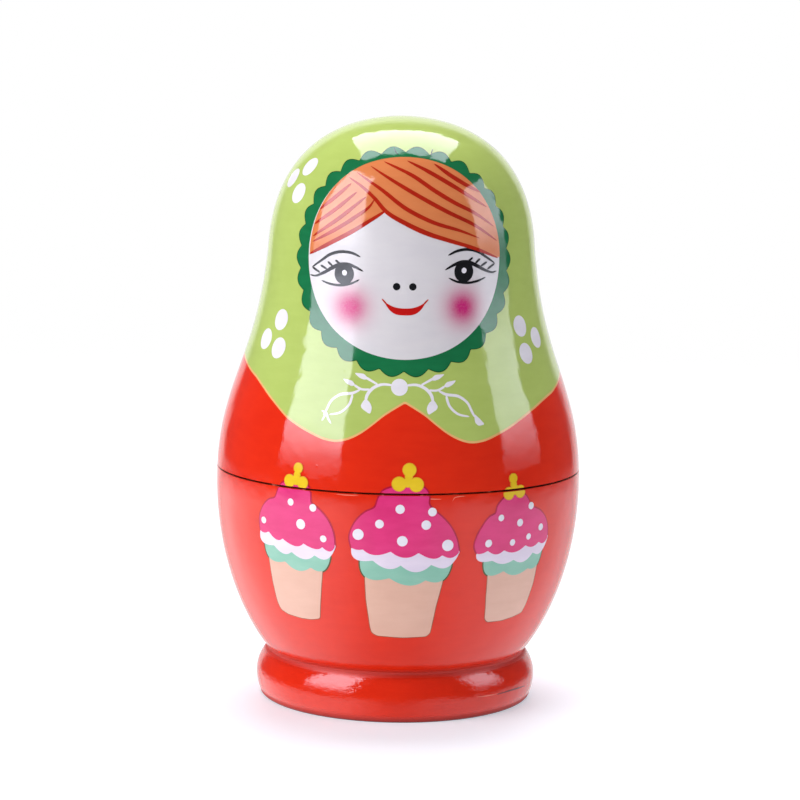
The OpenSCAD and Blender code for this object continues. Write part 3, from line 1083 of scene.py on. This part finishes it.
TONES = {
    "dress": ((224, 43, 12), (217, 37, 9)),
    # Painted shade for the seam and for the contact shadow at the foot's standing edge
    "shade_line": ((64, 14, 9), (44, 8, 6)),
    "scratch": ((242, 132, 112), (236, 104, 84)),
    "crack": ((130, 12, 9), (104, 8, 7)),
    "scarf": ((178, 197, 105), (171, 190, 98)),
    "edge_line": ((234, 184, 122), (226, 172, 110)),
    "white": ((236, 231, 239), (226, 221, 230)),
    "border": ((22, 116, 69), (16, 104, 61)),
    "border_line": ((9, 80, 41), (6, 70, 35)),
    "face": ((219, 214, 217), (213, 208, 213)),
    "hair": ((222, 132, 80), (214, 123, 73)),
    "strand": ((186, 38, 12), (164, 26, 8)),
    "black": ((22, 22, 26), (12, 12, 15)),
    "lips": ((202, 22, 16), (184, 12, 10)),
    "frosting": ((226, 56, 126), (214, 44, 112)),
    "frosting_rim": ((188, 20, 58), (176, 16, 50)),
    "cream": ((232, 219, 234), (222, 208, 226)),
    "mint": ((146, 196, 176), (132, 186, 165)),
    "mint_rim": ((92, 84, 40), (76, 66, 30)),
    "cup": ((224, 180, 160), (217, 171, 151)),
    "cup_rim": ((176, 84, 52), (152, 64, 40)),
    "yellow": ((236, 200, 44), (224, 184, 30)),
    "yellow_rim": ((228, 164, 50), (206, 138, 36)),
}
MATERIALS = {name: paint_material(name + "_paint", *tones, blush=name == "face")
             for name, tones in TONES.items()}
MATERIALS["wood"] = wood_material()


# Objects


SHARP_ANGLE = math.radians(32)


def linked_object(name, data):
    made = bpy.data.objects.new(name, data)
    bpy.context.scene.collection.objects.link(made)
    return made


def new_object(name, points, quads, tris, marks, paints, blush, scale, seat):
    """Mesh object at the origin: points in millimetres of the outer doll, reduced by scale and raised to
    seat, with bands of wear and painted shade as attributes."""
    mesh = bpy.data.meshes.new(name)
    placed = points * scale
    placed[:, 2] += seat
    mesh.from_pydata(placed * MM, [], quads.tolist() + tris.tolist())
    for paint in paints:
        mesh.materials.append(MATERIALS[paint])
    mesh.polygons.foreach_set("material_index", marks.astype(np.int32))
    mesh.polygons.foreach_set("use_smooth", np.ones(len(marks), bool))
    rim = np.clip(1 - np.abs(points[:, 2] - SEAM_Z) / RIM_BAND, 0, 1)
    foot = np.clip((FOOT_TOP - points[:, 2]) / FOOT_BLEND, 0, 1)
    # Painted shade: full at the foot's standing edge and fading upwards, with a weaker band in the groove
    # above the foot
    crease = CREASE_SHADE * (1 - np.abs(points[:, 2] - CREASE_Z) / CREASE_HALF)
    foot_shade = np.clip(np.maximum(1 - points[:, 2] / FOOT_SHADE_TOP, crease), 0, 1)
    for label, values in (("rim", rim), ("foot", foot), ("foot_shade", foot_shade), ("blush", blush)):
        layer = mesh.attributes.new(label, "FLOAT", "POINT")
        layer.data.foreach_set("value", values.astype(np.float32))
    mesh.set_sharp_from_angle(angle=SHARP_ANGLE)
    mesh.update()
    return linked_object(name, mesh)


def shell_object(name, section, tags, scale, seat):
    turned = lathe(section, tags, max(AROUND_LEAST, int(AROUND * scale)))
    marks = np.concatenate([turned["quad_tags"], turned["tri_tags"]])
    no_blush = np.zeros(len(turned["points"]))
    return new_object(name, turned["points"], turned["quads"], turned["tris"], marks,
                      ("dress", "wood", "shade_line"), no_blush, scale, seat)


def film_object(name, films, scale, seat):
    """All films of one piece in one mesh, with a material slot per paint."""
    paints = list(dict.fromkeys(paint for paint, _, _ in films))
    start = np.cumsum([0] + [len(mesh["points"]) for _, mesh, _ in films])
    quads = np.concatenate([mesh["quads"] + first for (_, mesh, _), first in zip(films, start)])
    tris = np.concatenate([mesh["tris"] + first for (_, mesh, _), first in zip(films, start)])
    marks = [np.full(len(mesh[kind]), paints.index(paint))
             for kind in ("quads", "tris") for paint, mesh, _ in films]
    points = np.concatenate([mesh["points"] for _, mesh, _ in films])
    blush = np.concatenate([share for _, _, share in films])
    return new_object(name, points, quads, tris, np.concatenate(marks), paints, blush, scale, seat)


def build_doll(number, name):
    """One doll of the set: its turned shells in place of the CAD halves, and its painting on them."""
    scale = NEST_RATIO ** number
    seat = FLOOR_T * (1 - scale) / (1 - NEST_RATIO)
    solid = name == "smallest"
    top_body = name if solid else name + "_top"
    base_body = name if solid else name + "_base"
    if solid:
        shells = [("smallest_shell", solid_section(), "smallest_doll", base_body, "smallest_doll")]
    else:
        shells = [(name + "_base_shell", base_section(), name + "_doll_base", base_body, "dress_half"),
                  (name + "_top_shell", top_section(), name + "_doll_top", top_body, "scarf_half")]
    for label, (section, tags), cad_node, body, slot in shells:
        shell = shell_object(label, section, tags, scale, seat)
        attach(shell, body)
        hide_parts(cad_node)
    art = Painting(scale)
    paint_scarf(art)
    paint_face(art, lashes=number < 3)
    for drawing in CUPS[:1 if solid else 3]:
        paint_cup(art, drawing)
    if number == 0:
        paint_wear(art)
    for piece, body in (("scarf", top_body), ("face", top_body), ("toppings", top_body), ("cups", base_body)):
        films = [entry[1:] for entry in art.films if entry[0] == piece]
        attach(film_object(name + "_" + piece, films, scale, seat), body)


for number, name in enumerate(DOLLS):
    build_doll(number, name)


# Table, light and camera


FLOOR_AROUND = 96
FLOOR_RINGS = 9
FLOOR_FADE = 0.08
FLOOR_END = 0.6
FLOOR_GLOW = 0.45


def floor():
    """White table top, rings from the middle outwards, that glows faintly, so that shadows stay light. It
    fades out with the distance from the doll, so that it has no edge. The lacquer doesn't mirror it, but the
    room below it."""
    turn = np.linspace(0, 2 * math.pi, FLOOR_AROUND, endpoint=False)[:, None]
    radius = np.linspace(0, FLOOR_END, FLOOR_RINGS)[None, :]
    level = np.zeros((FLOOR_AROUND, FLOOR_RINGS))
    points = np.stack([radius * np.cos(turn), radius * np.sin(turn), level], axis=-1)
    index = np.arange(level.size).reshape(level.shape)
    index[:, 0] = 0
    quads = grid_quads(np.vstack([index, index[:1]]))[:, ::-1]
    disc = packed(points.reshape(-1, 3), quads, np.zeros(len(quads), int))
    mesh = bpy.data.meshes.new("table")
    mesh.from_pydata(disc["points"], [], disc["quads"].tolist() + disc["tris"].tolist())
    material, tree, shader = new_material("table_white")
    place = object_place(tree)
    tone = mixed(tree, noise(tree, place, 30.0, 3.0), linear(214, 214, 219), linear(210, 210, 216))
    tree.links.new(tone, shader.inputs["Base Color"])
    fade = ranged(tree, distance_from_middle(tree, place), FLOOR_FADE, FLOOR_END, 1.0, 0.0)
    tree.links.new(fade, shader.inputs["Alpha"])
    shader.inputs["Roughness"].default_value = 0.6
    shader.inputs["Emission Color"].default_value = (0.8, 0.92, 1.0, 1.0)
    shader.inputs["Emission Strength"].default_value = FLOOR_GLOW
    mesh.materials.append(material)
    made = linked_object("table", mesh)
    made.visible_glossy = False


def light_panel(name, width, height, radiance):
    """Rectangular light: its power is radiance times pi times area."""
    light = bpy.data.lights.new(name, "AREA")
    light.shape = "RECTANGLE"
    light.size = width
    light.size_y = height
    light.energy = radiance * math.pi * width * height
    return linked_object(name, light)


def upright(name, degrees, distance, low, high, width, radiance):
    """Upright light panel at that turn from the front, facing the doll."""
    turn = math.radians(degrees)
    made = light_panel(name, width, high - low, radiance)
    made.location = (distance * math.sin(turn), -distance * math.cos(turn), (low + high) / 2)
    made.rotation_euler = (math.pi / 2, 0, turn)
    return made


OVERHEAD_X = 0.02


def overhead(name, height, front, back, width, radiance):
    """Level light panel above the doll and behind it, from front to back."""
    made = light_panel(name, width, back - front, radiance)
    made.location = (OVERHEAD_X, (front + back) / 2, height)
    return made


SHINE_TINT = (0.95, 0.98, 1.12)
SHINE_LOW = 0.05
SHINE_FULL = 0.28


def shine_only(made):
    """Makes a panel that is only mirrored in the lacquer: a little cool, and dim at its lower end."""
    made.visible_diffuse = False
    made.data.color = SHINE_TINT
    made.data.use_nodes = True
    tree = made.data.node_tree
    height = split_axes(tree, tree.nodes.new("ShaderNodeNewGeometry").outputs["Position"])["Z"]
    glow = ranged(tree, height, SHINE_LOW, SHINE_FULL, 0.1, 1.0)
    tree.links.new(glow, tree.nodes["Emission"].inputs["Strength"])


ROOM_DIM = (0.12, 0.12, 0.13, 1.0)
TABLE_FAR = (0.2, 0.2, 0.2, 1.0)
TABLE_FRONT = (0.55, 0.55, 0.57, 1.0)
TABLE_RIGHT = (1.15, 1.15, 1.24, 1.0)
TABLE_LEFT = (1.62, 1.62, 1.68, 1.0)
BEHIND_GLOW = (1.0, 1.0, 1.02, 1.0)
BACKDROP = (1.0, 1.0, 1.0, 1.0)


def room():
    """White backdrop. Light from the room is strong straight behind the doll and from the table at its sides,
    weaker from the table in front, least near the horizon, and weak elsewhere, all by direction."""
    world = bpy.data.worlds.new("studio")
    bpy.context.scene.world = world
    world.use_nodes = True
    tree = world.node_tree
    way = split_axes(tree, tree.nodes.new("ShaderNodeTexCoord").outputs["Generated"])
    below = ranged(tree, way["Z"], -0.2, -0.08, 1.0, 0.0)
    deep = ranged(tree, way["Z"], -0.5, -0.1, 1.0, 0.0)
    right = ranged(tree, way["X"], 0.1, 0.75)
    left = ranged(tree, way["X"], -0.75, -0.1, 1.0, 0.0)
    behind = ranged(tree, way["Y"], 0.78, 0.9)
    table = mixed(tree, right, mixed(tree, deep, TABLE_FAR, TABLE_FRONT), TABLE_RIGHT)
    around = mixed(tree, below, ROOM_DIM, mixed(tree, left, table, TABLE_LEFT))
    lit = mixed(tree, behind, around, BEHIND_GLOW)
    seen = tree.nodes.new("ShaderNodeLightPath").outputs["Is Camera Ray"]
    tree.links.new(mixed(tree, seen, lit, BACKDROP), tree.nodes["Background"].inputs["Color"])


floor()
room()
FILLS = (
    upright("left_fill", degrees=-53, distance=0.72, low=0.055, high=1.2, width=0.55, radiance=4.1),
    upright("right_fill", degrees=83, distance=0.72, low=0.05, high=0.69, width=0.38, radiance=1.85),
    overhead("top_fill", height=0.85, front=0.02, back=0.66, width=0.73, radiance=6.3))
SHINES = (
    upright("left_shine", degrees=-57, distance=0.62, low=0.055, high=1.05, width=0.47, radiance=7.4),
    upright("right_shine", degrees=83, distance=0.62, low=0.05, high=0.6, width=0.33, radiance=4.6),
    overhead("top_shine", height=0.75, front=-0.015, back=0.545, width=0.64, radiance=6.2))
for fill in FILLS:
    fill.visible_glossy = False
for shine in SHINES:
    shine_only(shine)

CAMERA_PLACE = (0.00015, -0.5, 0.124)
CAMERA_DIP = 0.13276
CAMERA_ROLL = math.radians(0.9)
lens = bpy.data.cameras.new("camera")
lens.sensor_width = 36.0
lens.lens = 117.5
lens.clip_start = 0.01
lens.dof.use_dof = False
camera = linked_object("camera", lens)
aim = Matrix.Rotation(math.pi / 2 - CAMERA_DIP, 4, "X") @ Matrix.Rotation(CAMERA_ROLL, 4, "Z")
camera.matrix_world = Matrix.Translation(CAMERA_PLACE) @ aim
bpy.context.scene.camera = camera
bpy.context.scene.view_settings.view_transform = "Standard"
